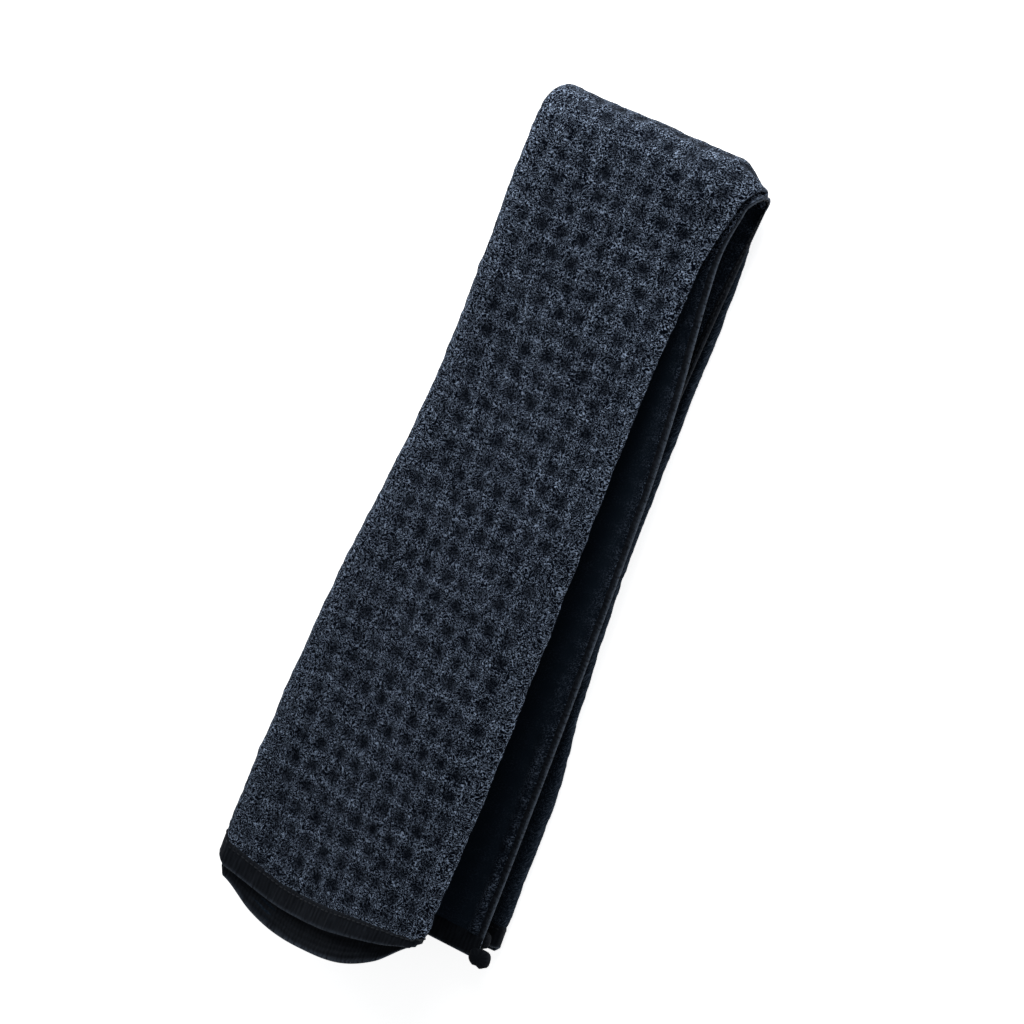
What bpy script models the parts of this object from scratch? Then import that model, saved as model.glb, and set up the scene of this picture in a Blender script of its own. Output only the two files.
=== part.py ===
"""Waffle microfibre drying towel, folded in four lengthwise and once across.

One sheet of waffle cloth with a smooth tape bound over its four edges. The towel lies on a flat
surface: its length runs along Y, the cross fold is at +Y, the free ends at -Y, and the open side
of the lengthwise folds faces +X. The origin is at the middle of the underside.

The cloth is one mid-surface, swept along the strip. Its cross-section is a path of seven runs:
bottom ply, outer wrap, top ply, right fold, second ply, inner wrap, inner bottom ply.
"""
import bpy
import bmesh
from math import cos, hypot, pi, sin
from mathutils import Vector

# Cloth and tape
CLOTH_WIDTH = 0.404
PLY = 0.0030
PLY_PITCH = 0.0034
TONGUE = 0.0005
TAPE_OUTSIDE = 0.0018
TAPE_INSIDE = 0.0012
TAPE_WALL = (TAPE_OUTSIDE - TAPE_INSIDE) / 2
END_BAND = 0.0110
SIDE_BAND = 0.0042
CLEARANCE = 0.0003
THREAD_WIDTH = 0.0009
THREAD_HEIGHT = 0.00025
SEAM_INSET = 0.0018
TUCK_SIZE = (0.0085, 0.0050, 0.0026)
TUCK_BEVEL = 0.0009
TUCK_SHIFT = 0.0005

# Cross fold
FOLD_Y = 0.191
HOLLOW_RADIUS = 0.006
RESTING_GAP = 0.001
HOLLOW_LENGTH = 0.150
EDGE_SWELL = 0.0031
LEAF_HEIGHT = 3 * PLY_PITCH + PLY
LEAN = 0.6  # how much steeper the raised plies are at mid-width than at their ends

# Lines of the folded strip, each as (y, value) pairs from the cross fold to the free end
UPPER_LINES = {
    "left": ((0.191, -0.038), (0.120, -0.043), (0.040, -0.051), (-0.040, -0.063),
             (-0.120, -0.0715), (-0.210, -0.0771)),
    "right": ((0.191, 0.0692), (0.180, 0.0660), (0.165, 0.0630), (0.140, 0.0612),
              (0.105, 0.0582), (0.070, 0.0565), (-0.060, 0.0550), (-0.130, 0.0525),
              (-0.210, 0.0475)),
    "hem": ((0.191, 0.0705), (0.170, 0.0665), (0.150, 0.0662), (0.090, 0.0675),
            (-0.040, 0.0665), (-0.110, 0.0650), (-0.210, 0.0620)),
    "left_gap": ((0.191, 0.0), (0.090, 0.0005), (-0.210, 0.0025)),
    "right_gap": ((0.191, 0.0), (0.150, 0.0015), (0.090, 0.0075), (0.040, 0.012),
                  (-0.040, 0.0165), (-0.120, 0.020), (-0.210, 0.023)),
    "fold_radius": ((0.191, 0.0017), (0.090, 0.0022), (-0.210, 0.0030)),
}
LOWER_LINES = {
    "left": ((0.191, -0.038), (0.0, -0.046), (-0.190, -0.052)),
    "right": ((0.191, 0.0722), (0.170, 0.0706), (0.150, 0.0692), (0.110, 0.0676),
              (0.030, 0.0646), (-0.010, 0.0643), (-0.060, 0.0664), (-0.095, 0.0693),
              (-0.130, 0.0685), (-0.190, 0.0675)),
    "hem": ((0.191, 0.0735), (0.150, 0.0690), (0.090, 0.0640), (0.0, 0.060), (-0.190, 0.058)),
    "left_gap": ((0.191, 0.0), (-0.190, 0.0)),
    "right_gap": ((0.191, 0.0), (-0.190, 0.0)),
    "fold_radius": ((0.191, 0.0017), (-0.190, 0.0017)),
}

# Where each run of the path ends near the free ends, as (run position, y) pairs
UPPER_END = ((0.0, -0.181), (1.0, -0.182), (1.3, -0.183), (1.6, -0.1875), (2.0, -0.1930),
             (2.3, -0.1965), (2.55, -0.1935), (2.72, -0.1885), (2.88, -0.1830), (3.0, -0.1780),
             (3.3, -0.1752), (3.7, -0.1752), (4.0, -0.1785), (4.15, -0.1945), (4.3, -0.2040),
             (4.5, -0.2089), (4.67, -0.2102), (4.82, -0.2073), (5.0, -0.1990), (5.5, -0.1930),
             (6.0, -0.1900), (7.0, -0.1900))
LOWER_END = ((0.0, -0.174), (1.5, -0.186), (2.5, -0.182), (3.5, -0.176), (4.5, -0.178),
             (5.5, -0.184), (7.0, -0.180))

# Run positions of the cloth's mesh lines between its two hems
RUN_STEPS = (3, 6, 6, 6, 6, 6, 3)
UPPER_STEPS = 8
FOLD_STEPS = 8
LOWER_STEPS = 6

SLATE = (0.030, 0.037, 0.049, 1.0)
SLATE_SHADE = (0.024, 0.030, 0.041, 1.0)
TAPE = (0.011, 0.012, 0.016, 1.0)
THREAD = (0.050, 0.057, 0.070, 1.0)


def ease(t):
    """Smooth step from 0 to 1."""
    t = min(max(t, 0.0), 1.0)
    return t * t * (3 - 2 * t)


def follow(pairs, at):
    """Smooth value at a place along (place, value) pairs, which run up or down."""
    ordered = sorted(pairs)
    places = [place for place, _ in ordered]
    values = [value for _, value in ordered]
    if at <= places[0]:
        return values[0]
    if at >= places[-1]:
        return values[-1]
    i = max(k for k, place in enumerate(places) if place <= at)
    i = min(i, len(places) - 2)
    span = places[i + 1] - places[i]
    t = (at - places[i]) / span
    before, after = max(i - 1, 0), min(i + 2, len(places) - 1)
    slope_in = (values[i + 1] - values[before]) / (places[i + 1] - places[before]) * span
    slope_out = (values[after] - values[i]) / (places[after] - places[i]) * span
    rise = values[i + 1] - values[i]
    return (values[i] + slope_in * t + (3 * rise - 2 * slope_in - slope_out) * t ** 2
            + (slope_in + slope_out - 2 * rise) * t ** 3)


def lean(t):
    """The share of its rise that the top ply has gained at t, with level ends."""
    return t - LEAN * sin(2 * pi * t) / (2 * pi)


def lean_slope(t):
    return 1 - LEAN * cos(2 * pi * t)


class Section:
    """One cross-section: the path (x, n) of the cloth's mid-line, and its outer normal."""

    def __init__(self, left, right, hem, left_gap, right_gap, fold_radius):
        self.hem = hem
        self.bottom = PLY / 2
        self.wrap_radius = (3 * PLY_PITCH + left_gap) / 2
        self.inner_radius = (PLY_PITCH + left_gap) / 2
        self.wrap_x = left + PLY / 2 + self.wrap_radius
        self.wrap_n = self.bottom + self.wrap_radius
        self.fold_radius = fold_radius
        self.fold_x = right - PLY / 2 - fold_radius
        self.second_left = self.bottom + 2 * PLY_PITCH + left_gap
        self.second_rise = right_gap - left_gap
        self.top_left = self.bottom + 3 * PLY_PITCH + left_gap
        self.top_rise = self.second_rise + 2 * fold_radius - PLY_PITCH
        self.run = self.fold_x - self.wrap_x
        used = (hem - self.wrap_x + pi * self.wrap_radius + hypot(self.run, self.top_rise)
                + pi * fold_radius + hypot(self.run, self.second_rise) + pi * self.inner_radius)
        self.lengths = (hem - self.wrap_x, pi * self.wrap_radius, hypot(self.run, self.top_rise),
                        pi * fold_radius, hypot(self.run, self.second_rise),
                        pi * self.inner_radius, CLOTH_WIDTH - used)

    def at(self, place):
        """Point (x, n) and normal (x, n) at a run position from 0 to 7."""
        run = min(int(place), 6)
        t = place - run
        s, c = sin(pi * t), cos(pi * t)
        if run == 0:
            return (self.hem + (self.wrap_x - self.hem) * t, self.bottom), (0, -1)
        if run == 1:
            r = self.wrap_radius
            return (self.wrap_x - r * s, self.wrap_n - r * c), (-s, -c)
        if run == 2:
            slope = self.top_rise * lean_slope(t) / self.run
            size = hypot(slope, 1)
            point = (self.wrap_x + self.run * t, self.top_left + self.top_rise * lean(t))
            return point, (-slope / size, 1 / size)
        if run == 3:
            r = self.fold_radius
            middle = self.second_left + self.second_rise + r
            return (self.fold_x + r * s, middle + r * c), (s, c)
        if run == 4:
            slope = self.second_rise * lean_slope(1 - t) / self.run
            size = hypot(slope, 1)
            point = (self.fold_x - self.run * t, self.second_left + self.second_rise * lean(1 - t))
            return point, (slope / size, -1 / size)
        if run == 5:
            r = self.inner_radius
            return (self.wrap_x - r * s, self.wrap_n + r * c), (s, -c)
        return (self.wrap_x + self.lengths[6] * t, self.bottom + PLY_PITCH), (0, 1)

    def places(self):
        """Run positions of the mesh lines, with a step just inside the edge of each side tape."""
        hem_lines = (TAPE_WALL + CLEARANCE, SIDE_BAND + CLEARANCE, SIDE_BAND + 2 * CLEARANCE)
        first = [distance / self.lengths[0] for distance in hem_lines]
        last = [7 - distance / self.lengths[6] for distance in reversed(hem_lines)]
        starts = [first[-1], 1, 2, 3, 4, 5, 6]
        stops = [1, 2, 3, 4, 5, 6, last[0]]
        places = first[:-1]
        for start, stop, steps in zip(starts, stops, RUN_STEPS):
            places += [start + (stop - start) * k / steps for k in range(steps)]
        return places + last


def lines_at(lines, y):
    return {name: follow(pairs, y) for name, pairs in lines.items()}


class Leg:
    """A stretch of the strip: turns a run position and a place along it into space."""

    def __init__(self, name):
        self.name = name

    def section(self, along):
        if self.name == "fold":
            start, stop = lines_at(UPPER_LINES, FOLD_Y), lines_at(LOWER_LINES, FOLD_Y)
            mixed = {key: start[key] + (stop[key] - start[key]) * along / pi for key in start}
            for edge in ("right", "hem"):
                mixed[edge] += EDGE_SWELL * sin(along)
            return Section(**mixed)
        lines = UPPER_LINES if self.name == "upper" else LOWER_LINES
        return Section(**lines_at(lines, along))

    def place(self, along, x, n):
        if self.name == "fold":
            r = HOLLOW_RADIUS + n
            centre = LEAF_HEIGHT + HOLLOW_RADIUS
            return Vector((x, FOLD_Y + r * sin(along), centre + r * cos(along)))
        if self.name == "lower":
            return Vector((x, along, LEAF_HEIGHT - n))
        open_height = (2 * HOLLOW_RADIUS - RESTING_GAP) * (1 - ease((FOLD_Y - along) / HOLLOW_LENGTH))
        return Vector((x, along, LEAF_HEIGHT + RESTING_GAP + open_height + n))

    def turn(self, along, x, n):
        """A section direction (x, n) as a direction in space."""
        if self.name == "fold":
            return Vector((x, n * sin(along), n * cos(along)))
        return Vector((x, 0, -n if self.name == "lower" else n))

    def spot(self, along, place):
        """Point on the mid-surface and the outer normal there."""
        (x, n), (nx, nn) = self.section(along).at(place)
        return self.place(along, x, n), self.turn(along, nx, nn)

    def end_line(self, place):
        return follow(UPPER_END if self.name == "upper" else LOWER_END, place)


def make_material(name, colour, roughness):
    material = bpy.data.materials.new(name)
    material.use_nodes = True
    shader = material.node_tree.nodes["Principled BSDF"]
    shader.inputs["Base Color"].default_value = colour
    shader.inputs["Roughness"].default_value = roughness
    shader.inputs["Metallic"].default_value = 0.0
    return material


def add_object(name, bm, material):
    """Turn the bmesh into an object with its faces pointing out."""
    bmesh.ops.recalc_face_normals(bm, faces=bm.faces)
    mesh = bpy.data.meshes.new(name)
    bm.to_mesh(mesh)
    bm.free()
    mesh.materials.append(material)
    obj = bpy.data.objects.new(name, mesh)
    bpy.context.scene.collection.objects.link(obj)
    return obj


def sweep(name, rings, material):
    """Skin a row of equal rings of points, each folded in two halves, and cap both ends."""
    bm = bmesh.new()
    rows = [[bm.verts.new(point) for point in ring] for ring in rings]
    count = len(rows[0])
    for row, after in zip(rows, rows[1:]):
        for k in range(count):
            following = (k + 1) % count
            bm.faces.new((row[k], row[following], after[following], after[k]))
    half = count // 2
    for row in (rows[0], rows[-1]):
        for k in range(half - 1):
            bm.faces.new((row[k], row[k + 1], row[count - 2 - k], row[count - 1 - k]))
    return add_object(name, bm, material)


def cloth_ring(leg, along_at, in_tape, places):
    """Both faces of the cloth at one station, as a ring: outer face out, inner face back."""
    outer, inner = [], []
    side_lines = 2
    for k, place in enumerate(places):
        point, normal = leg.spot(along_at(place), place)
        bound = in_tape or k < side_lines or k >= len(places) - side_lines
        half = (TONGUE if bound else PLY) / 2
        outer.append(point + normal * half)
        inner.append(point - normal * half)
    return outer + inner[::-1]


def leaf_cloth(name, leg, steps, material):
    """The cloth of one leaf, from the cross fold to the free end."""
    start = FOLD_Y - CLEARANCE
    band_edge = END_BAND + 2 * CLEARANCE
    inside = END_BAND + CLEARANCE
    tip = TAPE_WALL + CLEARANCE
    stations = [(lambda p, t=k / steps: start + (leg.end_line(p) + band_edge - start) * t, False)
                for k in range(steps + 1)]
    stations.append((lambda p: leg.end_line(p) + inside, True))
    stations.append((lambda p: leg.end_line(p) + tip, True))
    run = -FOLD_Y - start
    places = [leg.section(start + run * k / steps).places() for k in range(steps + 1)]
    places += [places[-1]] * 2
    rings = [cloth_ring(leg, along, bound, line)
             for (along, bound), line in zip(stations, places)]
    return sweep(name, rings, material)


def fold_cloth(name, leg, material):
    rings = []
    for k in range(FOLD_STEPS + 1):
        angle = pi * k / FOLD_STEPS
        rings.append(cloth_ring(leg, lambda p: angle, False, leg.section(angle).places()))
    return sweep(name, rings, material)


def tape_ring(edge, inward, normal, band):
    """U-shaped cross-section of tape folded over an edge."""
    out, inside = TAPE_OUTSIDE / 2, TAPE_INSIDE / 2
    corners = ((band, out), (0.0, out), (0.0, -out), (band, -out),
               (band, -inside), (TAPE_WALL, -inside), (TAPE_WALL, inside), (band, inside))
    return [edge + inward * depth + normal * height for depth, height in corners]


def sweep_tape(name, frames, band, material):
    return sweep(name, [tape_ring(*frame, band) for frame in frames], material)


def thread_ring(edge, inward, normal, depth):
    """Flat cross-section of seam thread on the outer face, at a depth in from the edge."""
    low = TAPE_OUTSIDE / 2 + CLEARANCE
    high = low + THREAD_HEIGHT
    near, far = depth - THREAD_WIDTH / 2, depth + THREAD_WIDTH / 2
    return [edge + inward * along + normal * height
            for along, height in ((near, low), (far, low), (far, high), (near, high))]


def sweep_thread(name, frames, depth, material):
    return sweep(name, [thread_ring(*frame, depth) for frame in frames], material)


def end_frames(leg):
    """Edge point, inward direction and normal all along a free end."""
    frames = []
    places = leg.section(-FOLD_Y).places()
    for place in [0.0] + places[2:-2] + [7.0]:
        end = leg.end_line(place)
        point, normal = leg.spot(end, place)
        further_in, _ = leg.spot(end + END_BAND, place)
        frames.append((point, (further_in - point).normalized(), normal))
    return frames


def hem_frames(leg, inner):
    """Edge point, inward direction and normal all along a side hem."""
    place = 7.0 if inner else 0.0
    inward = Vector((-1, 0, 0))
    if leg.name == "fold":
        stations = [pi * k / FOLD_STEPS for k in range(FOLD_STEPS + 1)]
    else:
        steps = UPPER_STEPS if leg.name == "upper" else LOWER_STEPS
        start = FOLD_Y - CLEARANCE
        stop = leg.end_line(place) + END_BAND + CLEARANCE
        stations = [start + (stop - start) * k / steps for k in range(steps + 1)]
    frames = []
    for along in stations:
        point, normal = leg.spot(along, place)
        frames.append((point, inward, normal))
    return frames


def corner_tuck(name, leg, inner, material):
    """The folded-over end of the side tape, a small rounded stub past the corner."""
    place = 7.0 if inner else 0.0
    point, _ = leg.spot(leg.end_line(place), place)
    bm = bmesh.new()
    bmesh.ops.create_cube(bm, size=1.0)
    bmesh.ops.scale(bm, vec=TUCK_SIZE, verts=bm.verts)
    bmesh.ops.bevel(bm, geom=bm.edges[:], offset=TUCK_BEVEL, segments=1, profile=0.5,
                    affect="EDGES")
    shift = Vector((TUCK_SHIFT, -TUCK_SIZE[1] / 2 - CLEARANCE, 0.0))
    bmesh.ops.translate(bm, vec=point + shift, verts=bm.verts)
    return add_object(name, bm, material)


def hang_from_hinge(objects):
    """Parent the upper leaf's pieces to an empty on the hinge line, keeping their places."""
    hinge = bpy.data.objects.new("leaf_hinge", None)
    hinge.location = (0, FOLD_Y, 2 * LEAF_HEIGHT + 2 * HOLLOW_RADIUS)
    bpy.context.scene.collection.objects.link(hinge)
    for obj in objects:
        obj.parent = hinge
        obj.location = -hinge.location


def build():
    for obj in list(bpy.data.objects):
        bpy.data.objects.remove(obj, do_unlink=True)

    upper, fold, lower = Leg("upper"), Leg("fold"), Leg("lower")
    cloth = make_material("waffle_cloth", SLATE, 0.95)
    shade = make_material("waffle_cloth_under", SLATE_SHADE, 0.95)
    tape = make_material("edge_tape", TAPE, 0.80)
    thread = make_material("seam_thread", THREAD, 0.70)

    lifted = [leaf_cloth("upper_cloth", upper, UPPER_STEPS, cloth)]
    fold_cloth("fold_cloth", fold, cloth)
    leaf_cloth("lower_cloth", lower, LOWER_STEPS, shade)

    end_seam = END_BAND - SEAM_INSET
    side_seam = SIDE_BAND - SEAM_INSET
    for leg in (upper, lower):
        pieces = [sweep_tape(f"{leg.name}_end_tape", end_frames(leg), END_BAND, tape),
                  sweep_thread(f"{leg.name}_end_seam", end_frames(leg), end_seam, thread)]
        for edge, inner in (("outer", False), ("inner", True)):
            pieces.append(corner_tuck(f"{leg.name}_{edge}_corner_tuck", leg, inner, tape))
        if leg is upper:
            lifted += pieces
    for leg in (upper, fold, lower):
        for edge, inner in (("outer", False), ("inner", True)):
            frames = hem_frames(leg, inner)
            pieces = [sweep_tape(f"{leg.name}_{edge}_side_tape", frames, SIDE_BAND, tape),
                      sweep_thread(f"{leg.name}_{edge}_side_seam", frames, side_seam, thread)]
            if leg is upper:
                lifted += pieces
    hang_from_hinge(lifted)


build()
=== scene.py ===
"""Looks of the folded waffle drying towel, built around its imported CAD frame.

The towel's own shape is swept again here in fine meshes: a path of seven runs (bottom ply, outer
wrap, top ply, right fold, second ply, inner wrap, inner bottom ply) carried along the folded strip.
The cloth gets its dimples and nap, the edges their tape, stitches and tucked corners.
"""
from math import pi

import bpy
import numpy as np
from mathutils import Matrix, Vector


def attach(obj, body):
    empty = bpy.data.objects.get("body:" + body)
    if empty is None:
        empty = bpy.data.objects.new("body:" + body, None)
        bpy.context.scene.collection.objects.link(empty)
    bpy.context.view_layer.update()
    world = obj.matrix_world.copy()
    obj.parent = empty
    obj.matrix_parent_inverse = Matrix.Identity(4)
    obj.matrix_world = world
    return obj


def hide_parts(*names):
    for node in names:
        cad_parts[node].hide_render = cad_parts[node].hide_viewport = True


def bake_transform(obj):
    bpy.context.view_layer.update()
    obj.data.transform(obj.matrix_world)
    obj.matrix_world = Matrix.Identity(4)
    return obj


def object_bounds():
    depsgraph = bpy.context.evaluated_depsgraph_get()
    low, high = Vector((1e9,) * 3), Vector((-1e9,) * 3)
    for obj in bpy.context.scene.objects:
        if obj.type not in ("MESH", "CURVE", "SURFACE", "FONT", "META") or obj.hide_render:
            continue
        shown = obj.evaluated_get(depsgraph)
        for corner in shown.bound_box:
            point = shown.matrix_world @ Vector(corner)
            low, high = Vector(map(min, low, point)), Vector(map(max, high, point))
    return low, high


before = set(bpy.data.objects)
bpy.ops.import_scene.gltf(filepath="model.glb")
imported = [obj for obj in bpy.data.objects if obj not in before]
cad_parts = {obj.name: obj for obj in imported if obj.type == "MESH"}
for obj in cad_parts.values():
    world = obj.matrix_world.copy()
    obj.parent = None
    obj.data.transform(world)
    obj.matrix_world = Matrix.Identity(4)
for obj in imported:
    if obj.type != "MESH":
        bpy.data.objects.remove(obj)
cad_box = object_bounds()

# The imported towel's own measures, in metres
CLOTH_WIDTH = 0.404
UPPER_LENGTH = 0.388
LOWER_LENGTH = 0.372
FOLD_OUTSIDE = 0.057  # about the length round the outside of the cross fold
PLY = 0.0030
PLY_PITCH = 0.0034
END_BAND = 0.0110
SEAM_INSET = 0.0018
FOLD_Y = 0.191
HOLLOW_RADIUS = 0.006  # inside radius of the cross fold
RESTING_GAP = 0.001  # between the leaves where they lie flat
HOLLOW_LENGTH = 0.150  # over which the leaves come together from the cross fold
EDGE_SWELL = 0.0031  # how far the open edge bulges out round the cross fold
LEAF_HEIGHT = 3 * PLY_PITCH + PLY
LEAN = 0.6  # how much steeper the raised plies are at mid-width than at their ends

# Lines of the folded strip, each as (y, value) pairs from the cross fold to the free end
UPPER_LINES = {
    "left": ((0.191, -0.038), (0.120, -0.043), (0.040, -0.051), (-0.040, -0.063),
             (-0.120, -0.0715), (-0.210, -0.0771)),
    "right": ((0.191, 0.0692), (0.180, 0.0660), (0.165, 0.0630), (0.140, 0.0612),
              (0.105, 0.0582), (0.070, 0.0565), (-0.060, 0.0550), (-0.130, 0.0525),
              (-0.210, 0.0475)),
    "hem": ((0.191, 0.0705), (0.170, 0.0665), (0.150, 0.0662), (0.090, 0.0675),
            (-0.040, 0.0665), (-0.110, 0.0650), (-0.210, 0.0620)),
    "left_gap": ((0.191, 0.0), (0.090, 0.0005), (-0.210, 0.0025)),
    "right_gap": ((0.191, 0.0), (0.150, 0.0015), (0.090, 0.0075), (0.040, 0.012),
                  (-0.040, 0.0165), (-0.120, 0.020), (-0.210, 0.023)),
    "fold_radius": ((0.191, 0.0017), (0.090, 0.0022), (-0.210, 0.0030)),
}
LOWER_LINES = {
    "left": ((0.191, -0.038), (0.0, -0.046), (-0.190, -0.052)),
    "right": ((0.191, 0.0722), (0.170, 0.0706), (0.150, 0.0692), (0.110, 0.0676),
              (0.030, 0.0646), (-0.010, 0.0643), (-0.060, 0.0664), (-0.095, 0.0693),
              (-0.130, 0.0685), (-0.190, 0.0675)),
    "hem": ((0.191, 0.0735), (0.150, 0.0690), (0.090, 0.0640), (0.0, 0.060), (-0.190, 0.058)),
    "left_gap": ((0.191, 0.0), (-0.190, 0.0)),
    "right_gap": ((0.191, 0.0), (-0.190, 0.0)),
    "fold_radius": ((0.191, 0.0017), (-0.190, 0.0017)),
}

# Where each run of the path ends near the free ends, as (run position, y) pairs
UPPER_END = ((0.0, -0.181), (1.0, -0.182), (1.3, -0.183), (1.6, -0.1875), (2.0, -0.1930),
             (2.3, -0.1965), (2.55, -0.1935), (2.72, -0.1885), (2.88, -0.1830), (3.0, -0.1780),
             (3.3, -0.1752), (3.7, -0.1752), (4.0, -0.1785), (4.15, -0.1945), (4.3, -0.2040),
             (4.5, -0.2089), (4.67, -0.2102), (4.82, -0.2073), (5.0, -0.1990), (5.5, -0.1930),
             (6.0, -0.1900), (7.0, -0.1900))
LOWER_END = ((0.0, -0.174), (1.5, -0.186), (2.5, -0.182), (3.5, -0.176), (4.5, -0.178),
             (5.5, -0.184), (7.0, -0.180))

# How far the plies are pressed together at the edge of the cross fold, and over what distances
SQUEEZE = 0.52
SQUEEZE_WIDTH = 0.017
SQUEEZE_LENGTH = 0.040
CLOSED = 0.85  # share of the missing third ply's room that closes up there

# Share of the end tape's width that shows at each run position of the upper leaf
BAND_SHARE = ((0.0, 1.0), (2.60, 1.0), (2.85, 0.75), (3.0, 0.42), (3.90, 0.36), (4.05, 0.8),
              (4.20, 1.45), (4.90, 1.45), (5.10, 1.0), (7.0, 1.0))
SIDE_BAND_SHOWN = 0.0031
FOLD_BAND_SHARE = 0.35  # share of a side tape's width that shows round the cross fold

# How the cloth thins under its tapes: how far in, over what distance, and to what half thickness
TAPE_OVERLAP = 0.0012
FOLD_OVERLAP = 0.0019  # added to the overlap of a side tape round the cross fold
HEM_THINNING = 0.0030
END_THINNING = 0.0032
BOUND_HALF = 0.0003
END_TUCK = 0.0006  # how far inside the end tape's edge the cloth stops

# Waffle and nap
WAFFLE_PITCH = 0.0111
CELL_SHIFT = 0.09  # how far a cell may sit from its place, as a share of the pitch
CELL_BEND = 0.0011
DIMPLE_RADIUS = 0.0045
DIMPLE_DEPTH = 0.0011
DIMPLE_POWER = 2.4  # higher gives flatter, squarer dimples
SHALLOWEST = 0.76  # share of the full depth that the shallowest dimple has
SWELL_HEIGHT = 0.00035
LUMP_HEIGHT = 0.00022
NAP_HEIGHT = 0.00016
RELIEF_DROP = 0.0004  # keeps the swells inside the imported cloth
INNER_DIMPLES = 0.35  # share of the dimples' depth on the face that looks into the fold
INNER_RELIEF = 0.6  # and of the swells, lumps and nap
OUTER_FLOOR = -0.0002  # least height of each face over the middle of the ply
INNER_FLOOR = 0.0003

# Pile: the share of it that stands up
PRESSED_AND_SHADED = 0.04  # between the plies, where it is pressed, and on the inner faces left open under the raised top ply, where the flat cloth is painted shade
SHADED_SIDE_PILE = 0.12  # left standing down the right side of the lower leaf, whose flat colour there is painted shade
SHADED_SIDE_WIDTH = 0.030
FRINGE = 0.45  # gained along the edge of an end tape
FRINGE_WIDTH = 0.0016
FRINGE_INSET = 0.001
HEM_FRINGE = 0.30  # gained beside a hem
HEM_FRINGE_WIDTH = 0.0075

# Run positions: where the cloth turns round its folds, as (start, over, stop, over), and how much
# shallower the dimples are there
LEFT_ROLL = (0.85, 0.15, 2.0, 0.10)
LEFT_ROLL_FLATTENS = 0.85
RIGHT_ROLL = (2.93, 0.07, 4.0, 0.10)
RIGHT_ROLL_FLATTENS = 0.7
OPEN_UNTIL = 4.02  # past here the outer face is hidden between the plies
OPEN_FADE = 0.08
SHADED_FROM = 2.75  # past here the lower leaf's pile lies flat, painted as shaded cloth
SHADED_FADE = 0.2

# The lengthwise pucker beside the upper leaf's outer hem, growing toward the free end
PUCKER_START = 0.010
PUCKER_END = -0.150
PUCKER_INSET = 0.0075
PUCKER_WIDTH = 0.0021
PUCKER_HEIGHT = 0.0024
PUCKER_WANDER = 0.0012
# Painted highlight: standing pile, and with it brighter flecks, along the pucker's crest, where it
# would catch the light
PUCKER_HIGHLIGHT = 0.14
PUCKER_RUN = 0.9  # it ends at this run position, before the outer wrap

# Tapes and stitches
TAPE_HALF = 0.00090  # half the height of a tape over the cloth in it
PULLED = 1.1  # a tape shown wider than this share lies in wrinkles along its length
PULLED_OVER = 0.2
RIB_PITCH = 0.0029
RIB_HEIGHT = 0.00009
RIPPLE_HEIGHT = 0.00022
CREASE_HEIGHT = 0.00014
WAVE_PITCH = 0.0034
WAVE_HEIGHT = 0.00030
WAVE_CREASE_HEIGHT = 0.00020
RIM_WIDTH = 0.0009
TAPE_PITCH = 0.0006
STITCH_PITCH = 0.0029
STITCH_LENGTH = 0.0023
STITCH_BOW = 0.00028
STITCH_SINK = 0.00016
STITCH_WANDER = 0.00012
STITCH_TILT = 0.0001
THREAD_TIP = 0.00012
THREAD_SWELL = 0.00016
STITCH_STATIONS = 7  # rings of vertices along a stitch
STITCH_RING = 6  # vertices in each

# The folded stub where a side tape ends: half sizes, and its centre from the corner
KNOB_SIZE = (0.0054, 0.0044, 0.0024)
KNOB_SHIFT = (0.0016, 0.0014, 0.0004)

# Meshes
ROW_PITCH = 0.00125
CELLS = (64, 128)  # dimples across and along before their draws repeat
NOISE_GRID = (128, 512)

rng = np.random.default_rng(7)


# ---------------------------------------------------------------- numbers
def ease(t):
    t = np.clip(t, 0.0, 1.0)
    return t * t * (3 - 2 * t)


def within(place, start, start_over, stop, stop_over):
    """1 from start to stop, eased in and out over the given lengths."""
    return ease((place - start) / start_over) * (1 - ease((place - stop) / stop_over))


def follow(pairs, at):
    """Smooth values at places along (place, value) pairs, which run up or down."""
    x, v = np.array(sorted(pairs)).T
    at = np.clip(at, x[0], x[-1])
    i = np.clip(np.searchsorted(x, at, side="right") - 1, 0, len(x) - 2)
    before, after = np.maximum(i - 1, 0), np.minimum(i + 2, len(x) - 1)
    span = x[i + 1] - x[i]
    t = (at - x[i]) / span
    slope_in = (v[i + 1] - v[before]) / (x[i + 1] - x[before]) * span
    slope_out = (v[after] - v[i]) / (x[after] - x[i]) * span
    rise = v[i + 1] - v[i]
    return (v[i] + slope_in * t + (3 * rise - 2 * slope_in - slope_out) * t ** 2
            + (slope_in + slope_out - 2 * rise) * t ** 3)


class Noise:
    """Smooth random field over the cloth, from -1 to 1, with features of a given size."""

    def __init__(self, size, seed):
        self.size = size
        self.grid = np.random.default_rng(seed).uniform(-1, 1, NOISE_GRID)

    def __call__(self, u, v):
        u, v = u / self.size, v / self.size
        i, j = np.floor(u).astype(int), np.floor(v).astype(int)
        s, t = ease(u - i), ease(v - j)
        across, along = NOISE_GRID
        a, b = i % across, (i + 1) % across
        c, d = j % along, (j + 1) % along
        g = self.grid
        return ((g[a, c] * (1 - s) + g[b, c] * s) * (1 - t)
                + (g[a, d] * (1 - s) + g[b, d] * s) * t)


CELL_JITTER = rng.uniform(-1, 1, (*CELLS, 2)) * CELL_SHIFT
CELL_DEPTH = rng.uniform(SHALLOWEST, 1.0, CELLS)
swell = Noise(0.017, 11)
lumps = Noise(0.0052, 12)
nap = Noise(0.0017, 13)
ripple = Noise(0.0062, 21)
crease = Noise(0.0026, 22)
pucker = Noise(0.011, 23)


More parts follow.
